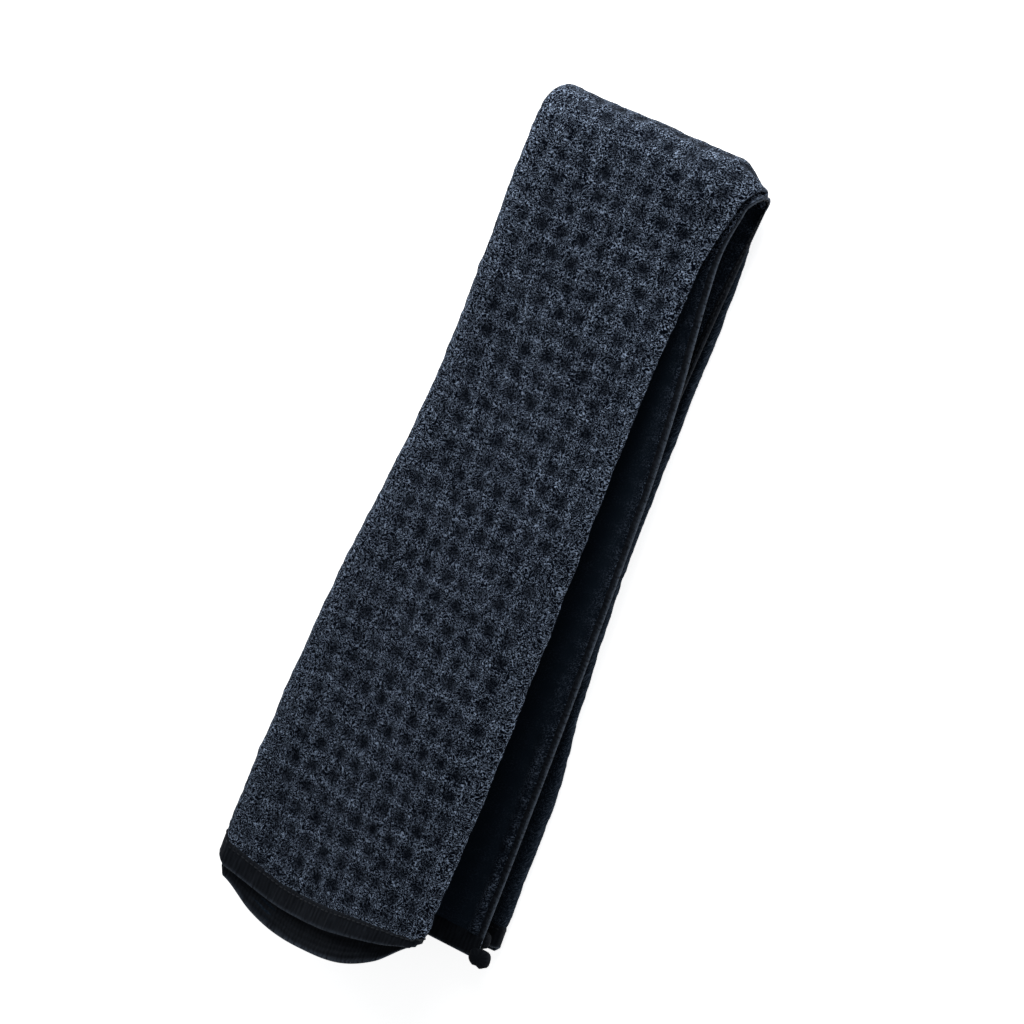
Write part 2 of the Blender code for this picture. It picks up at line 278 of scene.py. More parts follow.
def dimples(q, w):
    """How deep in a dimple each place on the cloth is, from 0 on a ridge to 1."""
    bend = CELL_BEND * swell(q + 0.3, w)
    u, v = (q + bend) / WAFFLE_PITCH, (w + 0.6 * bend) / WAFFLE_PITCH
    i, j = np.floor(u).astype(int), np.floor(v).astype(int)
    cell = (i % CELLS[0], j % CELLS[1])
    jitter = CELL_JITTER[cell]
    du = (u - i - 0.5 - jitter[..., 0]) * WAFFLE_PITCH / DIMPLE_RADIUS
    dv = (v - j - 0.5 - jitter[..., 1]) * WAFFLE_PITCH / DIMPLE_RADIUS
    return CELL_DEPTH[cell] * np.exp(-(np.abs(du) ** DIMPLE_POWER + np.abs(dv) ** DIMPLE_POWER))


# ---------------------------------------------------------------- the folded path
def lean(t):
    """Share of a raised ply's rise reached at each share of its run, steepest at mid-width."""
    return t - LEAN * np.sin(2 * pi * t) / (2 * pi)


def lean_slope(t):
    return 1 - LEAN * np.cos(2 * pi * t)


def path(lines, place):
    """Points (x, n), normals (x, n) and distances across the cloth at run positions 0 to 7."""
    left, right, hem = lines["left"], lines["right"], lines["hem"]
    r = lines["fold_radius"]
    bottom = PLY / 2
    wrap = (3 * PLY_PITCH + lines["left_gap"]) / 2
    inner = (PLY_PITCH + lines["left_gap"]) / 2
    wrap_x, wrap_n = left + PLY / 2 + wrap, bottom + wrap
    fold_x = right - PLY / 2 - r
    second = bottom + 2 * PLY_PITCH + lines["left_gap"]
    second_rise = lines["right_gap"] - lines["left_gap"]
    top = bottom + 3 * PLY_PITCH + lines["left_gap"]
    top_rise = second_rise + 2 * r - PLY_PITCH
    run = fold_x - wrap_x
    used = (hem - wrap_x + pi * wrap + np.hypot(run, top_rise) + pi * r
            + np.hypot(run, second_rise) + pi * inner)
    last = CLOTH_WIDTH - used
    which = np.minimum(np.floor(place), 6).astype(int)
    t = place - which
    s, c = np.sin(pi * t), np.cos(pi * t)
    flat = np.zeros_like(t * left)  # gives every run the full shape of the rows and places
    up = flat + 1.0
    slope = top_rise * lean_slope(t) / run
    size = np.hypot(slope, 1)
    back = second_rise * lean_slope(1 - t) / run
    back_size = np.hypot(back, 1)
    wrap_q, fold_q = wrap_x, fold_x  # distances across the cloth are counted along the top ply's x
    far_q = fold_q + pi * r + run
    runs = (
        (hem + (wrap_x - hem) * t, flat + bottom, flat, -up,
         wrap_q - pi * wrap - (hem - wrap_x) * (1 - t)),
        (wrap_x - wrap * s, wrap_n - wrap * c, flat - s, flat - c, wrap_q - pi * wrap * (1 - t)),
        (wrap_x + run * t, top + top_rise * lean(t), -slope / size, up / size, wrap_q + run * t),
        (fold_x + r * s, second + second_rise + r + r * c, flat + s, flat + c,
         fold_q + pi * r * t),
        (fold_x - run * t, second + second_rise * lean(1 - t), back / back_size, -up / back_size,
         fold_q + pi * r + run * t),
        (wrap_x - inner * s, wrap_n + inner * c, flat + s, flat - c, far_q + pi * inner * t),
        (wrap_x + last * t, flat + bottom + PLY_PITCH, flat, up, far_q + pi * inner + last * t),
    )
    which = which + np.zeros(flat.shape, int)
    return [np.choose(which, [values[k] + flat for values in runs]) for k in range(5)]


def towards_fold(y):
    """0 along a leaf, rising to 1 at the cross fold."""
    return ease((y - FOLD_Y + SQUEEZE_LENGTH) / SQUEEZE_LENGTH)


def spots(leg, along, place):
    """Points, outer normals and (across, along, squeeze) of the cloth on one leg of the strip."""
    along, place = np.broadcast_arrays(along, place)
    if leg == "fold":
        start = {key: follow(pairs, FOLD_Y) for key, pairs in UPPER_LINES.items()}
        stop = {key: follow(pairs, FOLD_Y) for key, pairs in LOWER_LINES.items()}
        lines = {key: start[key] + (stop[key] - start[key]) * along / pi for key in start}
        for edge in ("right", "hem"):
            lines[edge] = lines[edge] + EDGE_SWELL * np.sin(along)
    else:
        table = UPPER_LINES if leg == "upper" else LOWER_LINES
        lines = {key: follow(pairs, along) for key, pairs in table.items()}
    x, n, nx, nn, q = path(lines, place)
    near_fold = 1.0 if leg == "fold" else towards_fold(along)
    near_edge = ease((x - lines["right"] + SQUEEZE_WIDTH) / SQUEEZE_WIDTH)
    squeeze = 1 - SQUEEZE * near_fold * near_edge
    upper_plies = (place > 1.5) & (place < 5.5)
    n = (n - CLOSED * PLY_PITCH * near_fold * near_edge * upper_plies) * squeeze
    if leg == "fold":
        r = HOLLOW_RADIUS + n
        point = (x, FOLD_Y + r * np.sin(along), LEAF_HEIGHT + HOLLOW_RADIUS + r * np.cos(along))
        normal = (nx, nn * np.sin(along), nn * np.cos(along))
        w = FOLD_Y + along * r
    elif leg == "lower":
        point = (x, along, LEAF_HEIGHT - n)
        normal = (nx, 0 * nn, -nn)
        w = 2 * FOLD_Y + pi * (HOLLOW_RADIUS + n) - along
    else:
        opening = (2 * HOLLOW_RADIUS - RESTING_GAP) * (1 - ease((FOLD_Y - along) / HOLLOW_LENGTH))
        point = (x, along, LEAF_HEIGHT + RESTING_GAP + opening + n)
        normal = (nx, 0 * nn, nn)
        w = along
    return np.stack(point, -1), np.stack(normal, -1), np.stack((q, w + 0 * q, squeeze + 0 * q), -1)


def end_line(leg, place):
    return follow(UPPER_END if leg == "upper" else LOWER_END, place)


def hem_share(y):
    """Share of a side tape's width that shows at each y, less toward the cross fold."""
    return 1 - (1 - FOLD_BAND_SHARE) * towards_fold(y)


def puckers(hem_distance, y):
    """How far the lengthwise ridge and short wrinkles beside the upper outer hem lift the cloth."""
    grown = ease((PUCKER_START - y) / (PUCKER_START - PUCKER_END))
    inset = PUCKER_INSET * (1 - 0.25 * grown) + PUCKER_WANDER * pucker(y, 0.4 + 0 * y)
    ridge = np.exp(-((hem_distance - inset) / PUCKER_WIDTH) ** 2)
    strip = np.exp(-((hem_distance - 0.5 * inset) / (0.55 * inset)) ** 2)
    wrinkles = crease(0.6 * hem_distance + 0.35 * y, 0.9 * y)
    return grown * PUCKER_HEIGHT * (ridge * (1 + 0.35 * ripple(y, 0.7 + 0 * y))
                                    + 0.45 * strip * wrinkles)


# ---------------------------------------------------------------- meshes
def new_piece(name, points, faces, material, cloth, fields=None):
    """A smooth mesh object, with what its shader reads at each vertex.

    cloth is the vertex's place on the flat cloth, and fields are named numbers.
    """
    mesh = bpy.data.meshes.new(name)
    mesh.from_pydata([tuple(p) for p in points], [], faces)
    mesh.shade_smooth()
    place = np.column_stack([cloth, np.zeros(len(cloth))]).astype(np.float32)
    mesh.attributes.new("cloth", "FLOAT_VECTOR", "POINT").data.foreach_set("vector", place.ravel())
    for key, values in (fields or {}).items():
        mesh.attributes.new(key, "FLOAT", "POINT").data.foreach_set(
            "value", values.astype(np.float32))
    mesh.materials.append(material)
    obj = bpy.data.objects.new(name, mesh)
    bpy.context.scene.collection.objects.link(obj)
    return obj


# Columns of the fine mesh: for each run, (share of the run, columns) from its start
OUTER_COLUMNS = (
    ((0.14, 18), (0.86, 38)),
    ((1.0, 14),),
    ((1.0, 100),),
    ((1.0, 10),),
    ((0.20, 12), (0.80, 14)),
    ((1.0, 5),),
    ((0.55, 16), (0.45, 22)),
)
INNER_SKIP = 4  # columns of the outer face for one of the inner face
NEAR_HEM_UNTIL = 0.32  # run position up to which the inner face keeps every column
# How many rows apart a column's vertices are: for each run's stretches on the outer face, then for
# the inner face near the hem and elsewhere
STEPS = {
    "upper": (((1, 2), (1,), (1,), (1,), (2, 4), (4,), (2, 2)), 1, 4),
    "lower": (((1, 1), (1,), (2,), (1,), (2, 4), (4,), (4, 4)), 2, 4),
}


def ring_columns(leaf):
    """The ring of mesh columns, outer face out and inner face back: (place, side, row step)."""
    steps, near_hem, elsewhere = STEPS[leaf]
    outer = []
    for run, (stretches, run_steps) in enumerate(zip(OUTER_COLUMNS, steps)):
        start = 0.0
        for (share, count), step in zip(stretches, run_steps):
            outer += [(run + start + share * k / count, 1, step) for k in range(count)]
            start += share
    outer.append((7.0, 1, 2))
    inner = []
    for k in range(len(outer) - 1, -1, -1):
        place = outer[k][0]
        if place <= NEAR_HEM_UNTIL:
            inner.append((place, -1, near_hem))
        elif k % INNER_SKIP == 0 or k == len(outer) - 1:
            inner.append((place, -1, elsewhere))
    return outer + inner


class ClothGrid:
    """Every place on one closed skin of cloth, in rows along the strip and mesh columns round it.

    Its legs are (leg, rows along it) pairs, and its columns come from ring_columns.
    """

    def __init__(self, leaf, columns, legs):
        self.leaf, self.columns = leaf, columns
        self.place = np.array([column[0] for column in columns])[None, :]
        self.side = np.array([column[1] for column in columns])[None, :]
        parts = [spots(leg, along(self.place), self.place) for leg, along in legs]
        self.point, self.normal, cloth = (np.concatenate([part[k] for part in parts])
                                          for k in range(3))
        self.q, self.w, self.squeeze = cloth[..., 0], cloth[..., 1], cloth[..., 2]
        y = self.point[..., 1]
        inner_hem = max(k for k, column in enumerate(columns) if column[1] > 0)
        self.outer_hem_distance = np.abs(self.q - self.q[:, :1])
        self.hem_distance = np.minimum(self.outer_hem_distance,
                                       np.abs(self.q - self.q[:, inner_hem][:, None]))
        self.end_distance = y - end_line(leaf, self.place)
        self.band = END_BAND * (follow(BAND_SHARE, self.place) if leaf == "upper" else 1.0)
        self.near_fold = towards_fold(y)
        overlap = TAPE_OVERLAP + FOLD_OVERLAP * self.near_fold
        hem_band = SIDE_BAND_SHOWN * hem_share(y)
        self.bound = np.minimum(
            ease((self.hem_distance - hem_band + overlap) / HEM_THINNING),
            ease((self.end_distance - self.band + TAPE_OVERLAP) / END_THINNING))
        self.lift = puckers(self.outer_hem_distance, y) * self.bound
        self.lift = self.lift * (self.place < PUCKER_RUN) * (leaf == "upper")

    def dimple(self):
        """How deep in a dimple each place is, less where the cloth turns round a fold."""
        left = LEFT_ROLL_FLATTENS * within(self.place, *LEFT_ROLL)
        right = RIGHT_ROLL_FLATTENS * within(self.place, *RIGHT_ROLL)
        return dimples(self.q, self.w) * self.bound * (1 - left) * (1 - right)

    def skin(self, deep):
        """The points of the skin, raised and sunk from the middle of the cloth."""
        outer = self.side > 0
        relief = (lumps(self.q, self.w) * LUMP_HEIGHT + swell(self.q, self.w) * SWELL_HEIGHT
                  - RELIEF_DROP + nap(self.q + 0.1 * self.side, self.w) * NAP_HEIGHT) * self.bound
        relief = relief * np.where(outer, 1.0, INNER_RELIEF)
        half = (BOUND_HALF + (PLY / 2 - BOUND_HALF) * self.bound) * self.squeeze
        depth = np.where(outer, DIMPLE_DEPTH, INNER_DIMPLES * DIMPLE_DEPTH)
        lowest = np.where(outer, OUTER_FLOOR, INNER_FLOOR) * self.squeeze
        height = np.maximum(half + relief - depth * deep, lowest)
        return self.point + self.normal * (self.side * height - self.lift)[..., None]

    def pile(self):
        """How much of the pile stands up: all of it on the open outer faces, little between the
        plies, where it is pressed, and on the inner faces left open under the raised plies, whose
        flat colour there is painted shade.
        """
        opened = (self.side > 0) * (1 - ease((self.place - OPEN_UNTIL) / OPEN_FADE))
        if self.leaf == "upper":
            rolled = (self.side < 0) | (self.place > 3)
            opened = np.maximum(opened, self.near_fold * rolled)
        else:
            # Painted shade: the pile lies flat down the lower leaf's right side and round its right
            # fold, which then take the flat, shaded colour
            in_shade = 1 - ease((self.outer_hem_distance / SHADED_SIDE_WIDTH - 0.75) / 0.25)
            in_shade = np.maximum(ease((self.place - SHADED_FROM) / SHADED_FADE), in_shade)
            opened = opened * (1 - (1 - SHADED_SIDE_PILE) * in_shade)
        hem_fringe = HEM_FRINGE * np.exp(-(self.hem_distance / HEM_FRINGE_WIDTH) ** 2)
        from_tape = self.end_distance - self.band - FRINGE_INSET
        end_fringe = FRINGE * np.exp(-(from_tape / FRINGE_WIDTH) ** 2) * opened
        pile = np.maximum(PRESSED_AND_SHADED + (1 - PRESSED_AND_SHADED) * opened, hem_fringe) + end_fringe
        # Painted highlight along the pucker's crest
        return pile + PUCKER_HIGHLIGHT * np.clip(self.lift / PUCKER_HEIGHT, 0, 1)

    def vertex_ids(self):
        """Numbers of the grid's vertices, and -1 at the rows that a coarser column skips."""
        used = np.zeros(self.point.shape[:2], bool)
        for k, (_, _, step) in enumerate(self.columns):
            used[::step, k] = True
        ids = -np.ones(used.shape, int)
        ids[used] = np.arange(used.sum())
        return ids

    def faces(self, ids):
        """Faces round the ring between each pair of columns, and across both ends."""
        rows, count = len(ids) - 1, len(self.columns)
        faces = []
        for k in range(count):
            after = (k + 1) % count
            here, there = self.columns[k][2], self.columns[after][2]
            stride = max(here, there)
            a, b = ids[:, k].tolist(), ids[:, after].tolist()
            for row in range(0, rows, stride):
                faces.append(b[row:row + stride + 1:there] + a[row:row + stride + 1:here][::-1])
        outer = [k for k in range(count) if self.columns[k][1] > 0]
        inner = [k for k in range(count) if self.columns[k][1] < 0][::-1]
        for row, flip in ((0, False), (rows, True)):
            for here, there in zip(inner, inner[1:]):
                low, high = self.columns[here][0] - 1e-9, self.columns[there][0] + 1e-9
                top = [ids[row, k] for k in outer if low <= self.columns[k][0] <= high]
                face = [int(i) for i in top + [ids[row, there], ids[row, here]]]
                faces.append(face if flip else face[::-1])
        return faces


def sheet_of_cloth(name, leaf, legs, material):
    """One closed skin of cloth, with its dimples, swells and pile."""
    grid = ClothGrid(leaf, ring_columns(leaf), legs)
    deep, pile = grid.dimple(), grid.pile()
    ids = grid.vertex_ids()
    used = ids >= 0
    cloth = np.stack((grid.q, grid.w), -1)[used]
    return new_piece(name, grid.skin(deep)[used], grid.faces(ids), material, cloth,
                     {"dimple": deep[used], "pile": pile[used]})


def rows_for(length):
    """How many rows a length takes, a multiple of the coarsest column's step."""
    return 4 * round(length / ROW_PITCH / 4)


def leaf_rows(leg, length):
    """Rows of y for each place, from the cross fold to just inside the end tape's edge."""
    t = np.linspace(0, 1, rows_for(length) + 1)[:, None]
    return lambda place: FOLD_Y + (end_line(leg, place) + END_TUCK - FOLD_Y) * t


def fold_rows(length):
    """Rows of the angle round the cross fold."""
    t = np.linspace(0, pi, rows_for(length) + 1)[:, None]
    return lambda place: t + 0 * place


def run_along(line):
    """Distance along a line of points, at each of them."""
    return np.concatenate([[0], np.cumsum(np.linalg.norm(np.diff(line, axis=0), axis=1))])


def ring_faces(rings, size, base=0):
    """Faces between neighbouring rings of vertices."""
    faces = []
    for i in range(rings - 1):
        a, b = base + i * size, base + (i + 1) * size
        for k in range(size):
            following = (k + 1) % size
            faces.append((a + k, a + following, b + following, b + k))
    return faces


def tube_faces(rings, size, base=0):
    """The faces of a capped tube."""
    last = base + (rings - 1) * size
    return ring_faces(rings, size, base) + [tuple(base + k for k in range(size))[::-1],
                                            tuple(last + k for k in range(size))]


def bar(name, edge, inward, normal, profile, material, shift=0.0, widen=None, rim_highlight=1.0):
    """Sweep a closed profile of (depth, height) pairs along an edge, and cap it.

    shift moves the tape's ripples along, widen is the share of the profile's depth at each point
    of the edge, and the last argument sets how strong the painted highlight along the tape's rim is.
    """
    depth, height = np.array(profile).T
    wide = np.ones(len(edge)) if widen is None else widen
    run = run_along(edge) + shift
    girth = np.concatenate([[0], np.cumsum(np.hypot(np.diff(depth), np.diff(height)))])
    s, around = np.broadcast_arrays(run[:, None], girth[None, :])
    deep, side = np.broadcast_arrays(depth[None, :] * wide[:, None], np.sign(height)[None, :])
    pulled = ease((wide[:, None] - PULLED) / PULLED_OVER)
    bulge = tape_wobble(s, deep, side) * (1 - 0.7 * pulled) + wide_wrinkles(s, deep, side) * pulled
    bulge = bulge * ease((deep + 0.0003) / 0.0012)  # none round the rim
    thick = np.sqrt(np.minimum(wide, 1))[:, None]
    points = (edge[:, None] + inward[:, None] * deep[..., None]
              + normal[:, None] * (height[None, :] * thick + bulge)[..., None])
    cloth = np.stack((s, around), -1).reshape(-1, 2)
    # Painted highlight along the tape's rim, where its turned edge would catch the light
    rim = rim_highlight * np.exp(-(depth[None, :] / RIM_WIDTH) ** 2) + 0 * s
    return new_piece(name, points.reshape(-1, 3), tube_faces(*s.shape), material, cloth,
                     {"rim": rim.ravel()})


def resample(arrays, pitch):
    """Frames along an edge, resampled at an even pitch."""
    run = run_along(arrays[0])
    even = np.linspace(0, run[-1], max(int(run[-1] / pitch), 2) + 1)
    made = [np.stack([np.interp(even, run, a[:, k]) for k in range(3)], -1) for a in arrays]
    return made[:1] + [a / np.linalg.norm(a, axis=1, keepdims=True) for a in made[1:]]


def resample_places(edge, place, pitch):
    """Run positions along an edge, resampled as its frames are."""
    run = run_along(edge)
    return np.interp(np.linspace(0, run[-1], max(int(run[-1] / pitch), 2) + 1), run, place)


def end_frames(leg, pitch):
    """Edge, inward direction and outer normal all along a free end."""
    place = np.linspace(0, 7, 1400)
    y = end_line(leg, place)
    edge, normal, _ = spots(leg, y, place)
    further, _, _ = spots(leg, y + END_BAND, place)
    inward = further - edge
    return resample([edge, inward, normal], pitch), resample_places(edge, place, pitch)


def hem_frames(legs, inner, pitch):
    """Edge, inward direction and outer normal along a hem, over one leg or two."""
    place = 7.0 if inner else 0.0
    edges, normals = [], []
    for leg in legs:
        if leg == "fold":
            along = np.linspace(0, pi, 90)
        else:
            stop = end_line(leg, place) + END_BAND - TAPE_OVERLAP
            along = np.linspace(FOLD_Y, stop, 500)
            if leg == "upper" and "fold" in legs:
                along = along[::-1]
        edge, normal, _ = spots(leg, along, np.full(along.shape, place))
        edges.append(edge if not edges else edge[1:])
        normals.append(normal if not normals else normal[1:])
    edge, normal = np.concatenate(edges), np.concatenate(normals)
    inward = np.tile((-1.0, 0.0, 0.0), (len(edge), 1))
    return resample([edge, inward, normal], pitch)


def tape_profile(band):
    """Rounded section of tape turned over an edge, as (depth, height) pairs."""
    across = np.linspace(0.86, 0.14, max(round(band / 0.0007), 3))
    half = [(band, 0.00040), (band * 0.94, 0.00072)] + [(band * t, TAPE_HALF) for t in across]
    half += [(0.0009, 0.00098), (0.0003, 0.00076), (-0.0001, 0.00035)]
    return half + [(depth, -height) for depth, height in half[::-1]]


def tape_wobble(s, depth, side):
    """Height that a tape's ripples and ribs add, the ribs running from edge to edge."""
    ribs = RIB_HEIGHT * np.sin(2 * pi * s / RIB_PITCH + 3 * ripple(s, depth * 0.3))
    return side * (RIPPLE_HEIGHT * ripple(s, depth * 0.35)
                   + CREASE_HEIGHT * crease(s, depth * 0.4) + ribs)


def wide_wrinkles(s, depth, side):
    """Height that wrinkles along a tape's length add, where it is pulled wide."""
    waves = np.sin(2 * pi * depth / WAVE_PITCH + 2.5 * ripple(s * 0.45, depth * 0.3))
    return side * (WAVE_HEIGHT * waves + WAVE_CREASE_HEIGHT * crease(s * 0.3, depth))


def stitch_row(name, edge, inward, normal, depth, material, widen=None):
    """A row of stitches, each a small bowed thread, along a tape at a depth from its edge."""
    run = run_along(edge)
    depths = np.full(len(edge), depth) if widen is None else depth * widen
    line = edge + inward * depths[:, None] + normal * TAPE_HALF
    points, faces, cloth = [], [], []
    stations = np.linspace(-0.5, 0.5, STITCH_STATIONS)
    bow = 1 - (2 * stations) ** 2
    size = THREAD_TIP + THREAD_SWELL * np.sqrt(np.maximum(bow, 0))
    for start in np.arange(STITCH_PITCH, run[-1] - STITCH_PITCH, STITCH_PITCH):
        stretch, shift, tilt = rng.uniform(-1, 1, 3)
        at = start + (stations * STITCH_LENGTH) * (1 + 0.08 * stretch)
        here, up, side = (np.stack([np.interp(at, run, values[:, k]) for k in range(3)], -1)
                          for values in (line, normal, inward))
        here = here + up * (bow * STITCH_BOW - STITCH_SINK)[:, None]
        here = here + side * (STITCH_WANDER * shift + STITCH_TILT * tilt * stations)[:, None]
        base = len(points)
        for k in range(STITCH_STATIONS):
            for turn in range(STITCH_RING):
                angle = 2 * pi * turn / STITCH_RING
                points.append(here[k] + size[k] * (1.25 * np.cos(angle) * side[k]
                                                   + 0.9 * np.sin(angle) * up[k]))
                cloth.append((at[k], angle * 0.0003))
        faces += tube_faces(STITCH_STATIONS, STITCH_RING, base)
    return new_piece(name, points, faces, material, np.array(cloth))


def corner_knob(name, leg, inner, material):
    """The tucked end of a side tape: a soft folded stub past the corner."""
    place = 7.0 if inner else 0.0
    corner, _, _ = spots(leg, np.array([end_line(leg, place)]), np.array([place]))
    lat, lon = 14, 24
    v = np.linspace(-pi / 2, pi / 2, lat + 1)[:, None]
    u = np.linspace(0, 2 * pi, lon + 1)[None, :-1]

    def power(a, p):
        return np.sign(a) * np.abs(a) ** p

    x = power(np.cos(v), 0.75) * power(np.cos(u), 0.75)
    y = power(np.cos(v), 0.75) * power(np.sin(u), 0.75)
    z = power(np.sin(v), 0.8) + 0 * u
    creased = 1 + 0.10 * pucker(x * 0.02 + 0.3, y * 0.02 + z * 0.02) + 0.05 * np.sin(9 * x + 2 * y)
    waist = 1 - 0.25 * np.exp(-(x / 0.3) ** 2)
    points = np.stack((x * creased, y * creased, z * waist), -1) * np.array(KNOB_SIZE)
    points = points + corner[0] + np.array(KNOB_SHIFT)
    cloth = np.stack(((u + 0 * v) * 0.004, (v + 0 * u) * 0.004), -1).reshape(-1, 2)
    obj = new_piece(name, points.reshape(-1, 3), ring_faces(lat + 1, lon), material, cloth)
    weld = obj.modifiers.new("weld", "WELD")
    weld.merge_threshold = 1e-6
    return obj


# ---------------------------------------------------------------- materials
def nodes_of(name):
    """A new material, its node tree and its shader."""
    material = bpy.data.materials.new(name)
    material.use_nodes = True
    tree = material.node_tree
    return material, tree, tree.nodes["Principled BSDF"]


def add(tree, kind, inputs=(), **settings):
    """A node with its settings, and inputs as {input: socket or value}."""
    node = tree.nodes.new(kind)
    for key, value in settings.items():
        setattr(node, key, value)
    for key, value in dict(inputs).items():
        if isinstance(value, bpy.types.NodeSocket):
            tree.links.new(value, node.inputs[key])
        else:
            node.inputs[key].default_value = value
    return node


def math_node(tree, operation, a, b=0.0, clamp=False):
    return add(tree, "ShaderNodeMath", {0: a, 1: b}, operation=operation,
               use_clamp=clamp).outputs[0]


def ramp(tree, value, low, high):
    """Value from low to high, smoothed to 0 to 1."""
    return add(tree, "ShaderNodeMapRange", {"Value": value, "From Min": low, "From Max": high},
               interpolation_type="SMOOTHSTEP").outputs[0]


def mix(tree, share, a, b):
    """Colour a, turned to colour b by share."""
    return add(tree, "ShaderNodeMix", {0: share, 6: a, 7: b}, data_type="RGBA").outputs[2]


def noise_node(tree, vector, scale, detail=2.0, roughness=0.5):
    return add(tree, "ShaderNodeTexNoise", {"Vector": vector, "Scale": scale, "Detail": detail,
                                            "Roughness": roughness})


def warp(tree, vector, scale, reach):
    """The vector, pushed about by noise as far as half of reach."""
    push = add(tree, "ShaderNodeVectorMath",
               {0: noise_node(tree, vector, scale, 1.0).outputs["Color"], 1: (0.5, 0.5, 0.5)},
               operation="SUBTRACT").outputs[0]
    push = add(tree, "ShaderNodeVectorMath", {0: push, 1: (reach, reach, reach)},
               operation="MULTIPLY").outputs[0]
    return add(tree, "ShaderNodeVectorMath", {0: vector, 1: push}, operation="ADD").outputs[0]


def cloth_material(name, gap, ridge, fleck, hollow):
    """Plush waffle cloth: curled pile over broad ridges, with painted shade in the dimples and
    painted highlight and shadow on the curls.
    """
    material, tree, shader = nodes_of(name)
    where = add(tree, "ShaderNodeAttribute", attribute_name="cloth").outputs["Vector"]
    deep = add(tree, "ShaderNodeAttribute", attribute_name="dimple").outputs["Fac"]
    stand = add(tree, "ShaderNodeAttribute", attribute_name="pile").outputs["Fac"]
    curled = warp(tree, where, 900.0, 0.0009)
    hills = noise_node(tree, curled, 480.0, 1.0).outputs["Fac"]
    wave = math_node(tree, "PINGPONG", math_node(tree, "MULTIPLY", hills, 5.2), 0.5)
    curl = ramp(tree, wave, 0.20, 0.44)
    breaks = ramp(tree, noise_node(tree, curled, 900.0, 1.0).outputs["Fac"], 0.34, 0.60)
    patch = ramp(tree, noise_node(tree, where, 130.0, 2.0).outputs["Fac"], 0.25, 0.72)
    # Painted shade: the colour darkens toward the bottom of each dimple, in both the flecks and the
    # mix from gap to ridge
    shallow = math_node(tree, "SUBTRACT", 1.0, math_node(tree, "MULTIPLY", deep, 0.98), clamp=True)
    strand = math_node(tree, "MULTIPLY", curl,
                       math_node(tree, "ADD", math_node(tree, "MULTIPLY", breaks, 0.75), 0.25))
    height = math_node(tree, "ADD", math_node(tree, "MULTIPLY", patch, 0.30), 0.70)
    # Painted highlight: the bright fleck colour laid on the curled strands, where they would catch
    # the light
    bright = math_node(tree, "MULTIPLY", strand, math_node(tree, "MULTIPLY", shallow, height))
    bright = math_node(tree, "MULTIPLY", bright, stand, clamp=True)
    rough = ramp(tree, stand, 0.05, 0.45)
    # Painted shadow: the near-black gap colour between the strands, the ridge colour on them
    lit = math_node(tree, "MULTIPLY", curl, shallow)
    # Where the pile lies flat the cloth takes the plain hollow colour, without curls or flecks:
    # pressed cloth between the plies, and painted shade where such cloth lies open in the shade
    base = mix(tree, rough, hollow, mix(tree, lit, gap, ridge))
    tree.links.new(mix(tree, bright, base, fleck), shader.inputs["Base Color"])
    tall = math_node(tree, "MULTIPLY", strand, rough)
    bump = add(tree, "ShaderNodeBump", {"Strength": 1.0, "Distance": 0.0007, "Height": tall})
    tree.links.new(bump.outputs[0], shader.inputs["Normal"])
    shader.inputs["Roughness"].default_value = 0.95
    shader.inputs["Specular IOR Level"].default_value = 0.04
    shader.inputs["Sheen Weight"].default_value = 0.04
    shader.inputs["Sheen Roughness"].default_value = 0.45
    shader.inputs["Sheen Tint"].default_value = (0.28, 0.36, 0.48, 1.0)
    return material


def tape_material(name, colour, light, edge):
    """Smooth woven tape with fine ribs across it, with a painted highlight along its turned edge."""
    material, tree, shader = nodes_of(name)
    where = add(tree, "ShaderNodeAttribute", attribute_name="cloth").outputs["Vector"]
    bend = add(tree, "ShaderNodeVectorMath",
               {0: noise_node(tree, where, 260.0, 1.0).outputs["Color"],
                1: (0.0008, 0.0008, 0.0008)}, operation="MULTIPLY").outputs[0]
    bent = add(tree, "ShaderNodeVectorMath", {0: where, 1: bend}, operation="ADD").outputs[0]
    ribs = add(tree, "ShaderNodeTexWave", {"Vector": bent, "Scale": 150.0, "Distortion": 1.6,
                                           "Detail": 1.0}, bands_direction="X").outputs["Fac"]
    rim = add(tree, "ShaderNodeAttribute", attribute_name="rim").outputs["Fac"]
    stretched = add(tree, "ShaderNodeVectorMath", {0: where, 1: (1.0, 0.25, 1.0)},
                    operation="MULTIPLY").outputs[0]
    streak = noise_node(tree, stretched, 700.0, 3.0, 0.6).outputs["Fac"]
    patch = noise_node(tree, where, 110.0, 2.0).outputs["Fac"]
    tone = math_node(tree, "MULTIPLY", ramp(tree, streak, 0.35, 0.75), ramp(tree, patch, 0.3, 0.7))
    tone = math_node(tree, "ADD", math_node(tree, "MULTIPLY", tone, 0.55),
                     math_node(tree, "MULTIPLY", ribs, 0.25), clamp=True)
    # Painted highlight: the edge colour along the rim, broken up by the streaks
    rim_highlight = math_node(tree, "MULTIPLY", rim, ramp(tree, streak, 0.30, 0.55))
    tree.links.new(mix(tree, rim_highlight, mix(tree, tone, colour, light), edge),
                   shader.inputs["Base Color"])
    tall = math_node(tree, "ADD", math_node(tree, "MULTIPLY", ribs, 0.5), streak)
    bump = add(tree, "ShaderNodeBump", {"Strength": 0.55, "Distance": 0.00022, "Height": tall})
    tree.links.new(bump.outputs[0], shader.inputs["Normal"])
    shader.inputs["Roughness"].default_value = 0.80
    shader.inputs["Specular IOR Level"].default_value = 0.12
    shader.inputs["Sheen Weight"].default_value = 0.05
    shader.inputs["Sheen Roughness"].default_value = 0.4
    shader.inputs["Sheen Tint"].default_value = (0.35, 0.38, 0.44, 1.0)
    return material


